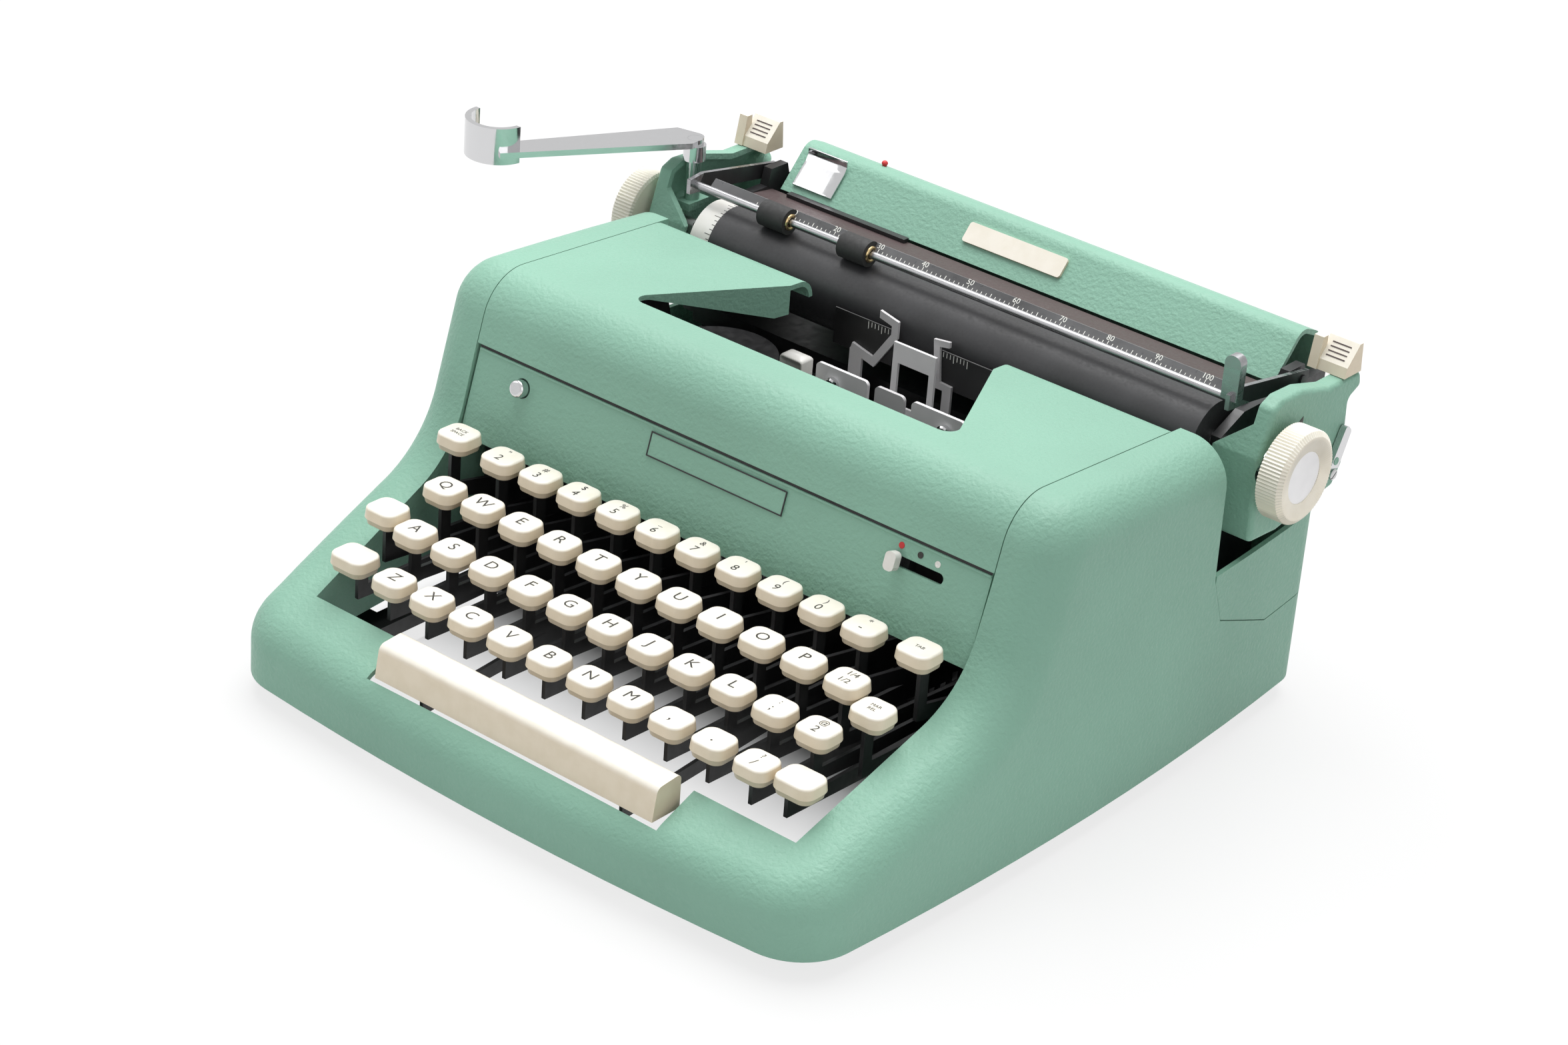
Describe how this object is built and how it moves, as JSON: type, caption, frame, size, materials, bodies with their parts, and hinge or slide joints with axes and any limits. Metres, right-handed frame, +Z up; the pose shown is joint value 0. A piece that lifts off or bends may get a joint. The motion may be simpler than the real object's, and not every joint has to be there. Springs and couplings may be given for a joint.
{
  "type": "portable manual typewriter",
  "caption": "Manual portable typewriter: rounded painted case with a sloping keyboard, open type basket under a lift-up hood, sliding carriage with platen, paper bail and return lever.",
  "frame": {"origin": "bottom centre of the whole machine's box, carriage at mid travel, on the table", "axes": "+X to the right along the carriage, +Y to the back, +Z up"},
  "size_m": [0.36, 0.319, 0.161],
  "materials": {
    "green_paint": "crinkle paint",
    "cream_plastic": "satin",
    "black_paint": "satin",
    "steel": "brushed",
    "chrome": "polished",
    "black_rubber": "matte",
    "brown_paint": "crinkle paint"
  },
  "bodies": {
    "frame": {"body_shell": "green_paint", "front_panel": "green_paint", "name_plate": "green_paint", "rear_panel": "green_paint", "base_frame": "black_paint", "side_plates": "black_paint", "rear_plate": "black_paint", "key_comb": "black_paint", "key_fulcrum_rod": "steel", "feet": "black_rubber", "type_segment": "black_paint", "typebars": "steel", "type_guide": "black_paint", "card_holders": "chrome", "guide_plates": "steel", "spool_cups": "black_paint", "carriage_rails": "steel"},
    "hood": {"top_hood": "green_paint"},
    "hood_button": {"hood_button": "chrome"},
    "ribbon_selector": {"ribbon_selector": "cream_plastic"},
    "ribbon_vibrator": {"ribbon_vibrator": "chrome"},
    "spool_left": {"spool_left": "cream_plastic"},
    "spool_right": {"spool_right": "cream_plastic"},
    "mainspring_drum": {"mainspring_drum": "steel"},
    "number_row": {"keys_number_row": "cream_plastic", "levers_number_row": "black_paint"},
    "q_row": {"keys_q_row": "cream_plastic", "levers_q_row": "black_paint"},
    "a_row": {"keys_a_row": "cream_plastic", "levers_a_row": "black_paint"},
    "z_row": {"keys_z_row": "cream_plastic", "levers_z_row": "black_paint"},
    "key_backspace": {"key_backspace": "cream_plastic"},
    "key_tab": {"key_tab": "cream_plastic"},
    "key_shift_lock": {"key_shift_lock": "cream_plastic"},
    "key_margin_release": {"key_margin_release": "cream_plastic"},
    "shift_key_left": {"shift_key_left": "cream_plastic"},
    "shift_key_right": {"shift_key_right": "cream_plastic"},
    "space_bar": {"space_bar": "cream_plastic", "space_bar_arms": "black_paint"},
    "carriage": {"carriage_frame": "steel", "end_cover_left": "green_paint", "end_cover_right": "green_paint", "paper_cover": "green_paint", "cover_badge": "cream_plastic", "paper_clip": "chrome", "paper_table": "brown_paint", "margin_scale": "black_paint"},
    "platen": {"platen": "black_rubber", "platen_shaft": "steel", "line_dial": "cream_plastic", "knob_left": "cream_plastic", "knob_right": "cream_plastic", "knob_caps": "steel"},
    "bail": {"bail": "chrome"},
    "bail_rollers": {"bail_rollers": "black_rubber"},
    "return_lever": {"return_lever": "chrome"},
    "margin_lever_left": {"margin_lever_left": "cream_plastic"},
    "margin_lever_right": {"margin_lever_right": "cream_plastic"},
    "paper_release_lever": {"paper_release_lever": "chrome"}
  },
  "joints": [
    {"name": "number_row_press", "type": "hinge", "parent": "frame", "child": "number_row", "pos_m": [0.02, 0.0345, 0.038], "axis": [1, 0, 0], "range_deg": [0, 7], "stiffness_Nm_per_rad": 0.4, "springref_deg": -28.65},
    {"name": "q_row_press", "type": "hinge", "parent": "frame", "child": "q_row", "pos_m": [0.02, 0.0345, 0.038], "axis": [1, 0, 0], "range_deg": [0, 6], "stiffness_Nm_per_rad": 0.45, "springref_deg": -28.65},
    {"name": "a_row_press", "type": "hinge", "parent": "frame", "child": "a_row", "pos_m": [0.02, 0.0345, 0.038], "axis": [1, 0, 0], "range_deg": [0, 5.2], "stiffness_Nm_per_rad": 0.5, "springref_deg": -28.65},
    {"name": "z_row_press", "type": "hinge", "parent": "frame", "child": "z_row", "pos_m": [0.02, 0.0345, 0.038], "axis": [1, 0, 0], "range_deg": [0, 4.2], "stiffness_Nm_per_rad": 0.5, "springref_deg": -28.65},
    {"name": "key_backspace_press", "type": "hinge", "parent": "frame", "child": "key_backspace", "pos_m": [0.02, 0.0345, 0.038], "axis": [1, 0, 0], "range_deg": [0, 6], "stiffness_Nm_per_rad": 0.05, "springref_deg": -28.65},
    {"name": "key_tab_press", "type": "hinge", "parent": "frame", "child": "key_tab", "pos_m": [0.02, 0.0345, 0.038], "axis": [1, 0, 0], "range_deg": [0, 6], "stiffness_Nm_per_rad": 0.05, "springref_deg": -28.65},
    {"name": "key_shift_lock_press", "type": "hinge", "parent": "frame", "child": "key_shift_lock", "pos_m": [0.02, 0.0345, 0.038], "axis": [1, 0, 0], "range_deg": [0, 4.5], "stiffness_Nm_per_rad": 0.05, "springref_deg": -28.65},
    {"name": "key_margin_release_press", "type": "hinge", "parent": "frame", "child": "key_margin_release", "pos_m": [0.02, 0.0345, 0.038], "axis": [1, 0, 0], "range_deg": [0, 4], "stiffness_Nm_per_rad": 0.05, "springref_deg": -28.65},
    {"name": "shift_key_left_press", "type": "hinge", "parent": "frame", "child": "shift_key_left", "pos_m": [0.02, 0.0345, 0.038], "axis": [1, 0, 0], "range_deg": [0, 3.5], "stiffness_Nm_per_rad": 0.06, "springref_deg": -28.65},
    {"name": "shift_key_right_press", "type": "hinge", "parent": "frame", "child": "shift_key_right", "pos_m": [0.02, 0.0345, 0.038], "axis": [1, 0, 0], "range_deg": [0, 3.5], "stiffness_Nm_per_rad": 0.06, "springref_deg": -28.65},
    {"name": "space_bar_press", "type": "hinge", "parent": "frame", "child": "space_bar", "pos_m": [0.02, 0.0345, 0.038], "axis": [1, 0, 0], "range_deg": [0, 2.6], "stiffness_Nm_per_rad": 0.5, "springref_deg": -28.65},
    {"name": "hood_lift", "type": "hinge", "parent": "frame", "child": "hood", "pos_m": [0.02, 0.0525, 0.122], "axis": [-1, 0, 0], "range_deg": [0, 60]},
    {"name": "hood_button_press", "type": "slide", "parent": "frame", "child": "hood_button", "axis": [0, 0.9606, -0.2781], "range_m": [0, 0.003], "stiffness_N_per_m": 150, "springref_m": -0.004},
    {"name": "ribbon_selector_slide", "type": "slide", "parent": "frame", "child": "ribbon_selector", "axis": [1, 0, 0], "range_m": [0, 0.016]},
    {"name": "ribbon_vibrator_lift", "type": "slide", "parent": "frame", "child": "ribbon_vibrator", "axis": [0, 0, 1], "range_m": [0, 0.01]},
    {"name": "spool_left_turn", "type": "hinge", "parent": "frame", "child": "spool_left", "pos_m": [-0.054, 0.0385, 0.09], "axis": [0, 0, 1], "continuous": true},
    {"name": "spool_right_turn", "type": "hinge", "parent": "frame", "child": "spool_right", "pos_m": [0.094, 0.0385, 0.09], "axis": [0, 0, 1], "continuous": true},
    {"name": "mainspring_turn", "type": "hinge", "parent": "frame", "child": "mainspring_drum", "pos_m": [-0.06, 0.1105, 0.05], "axis": [0, 1, 0], "range_deg": [-310, 310]},
    {"name": "carriage_slide", "type": "slide", "parent": "frame", "child": "carriage", "axis": [1, 0, 0], "range_m": [-0.105, 0.105]},
    {"name": "platen_turn", "type": "hinge", "parent": "carriage", "child": "platen", "pos_m": [0.02, 0.0865, 0.1165], "axis": [1, 0, 0], "continuous": true},
    {"name": "bail_lift", "type": "hinge", "parent": "carriage", "child": "bail", "pos_m": [0.02, 0.1275, 0.131], "axis": [-1, 0, 0], "range_deg": [0, 50]},
    {"name": "bail_rollers_turn", "type": "hinge", "parent": "bail", "child": "bail_rollers", "pos_m": [-0.05, 0.0825, 0.1376], "axis": [1, 0, 0], "continuous": true},
    {"name": "return_lever_swing", "type": "hinge", "parent": "carriage", "child": "return_lever", "pos_m": [-0.116, 0.0905, 0.15], "axis": [0, 0, 1], "range_deg": [0, 35], "stiffness_Nm_per_rad": 0.1, "springref_deg": -17.19},
    {"name": "margin_lever_left_slide", "type": "slide", "parent": "carriage", "child": "margin_lever_left", "axis": [0, -1, 0], "range_m": [0, 0.006], "stiffness_N_per_m": 100, "springref_m": -0.006},
    {"name": "margin_lever_right_slide", "type": "slide", "parent": "carriage", "child": "margin_lever_right", "axis": [0, -1, 0], "range_m": [0, 0.006], "stiffness_N_per_m": 100, "springref_m": -0.006},
    {"name": "paper_release_swing", "type": "hinge", "parent": "carriage", "child": "paper_release_lever", "pos_m": [0.168, 0.1255, 0.106], "axis": [1, 0, 0], "range_deg": [0, 25]}
  ],
  "couplings": [
    {"joint": "mainspring_turn", "follows": "carriage_slide", "rad_per_m": 50},
    {"joint": "shift_key_right_press", "follows": "shift_key_left_press", "ratio": 1}
  ]
}
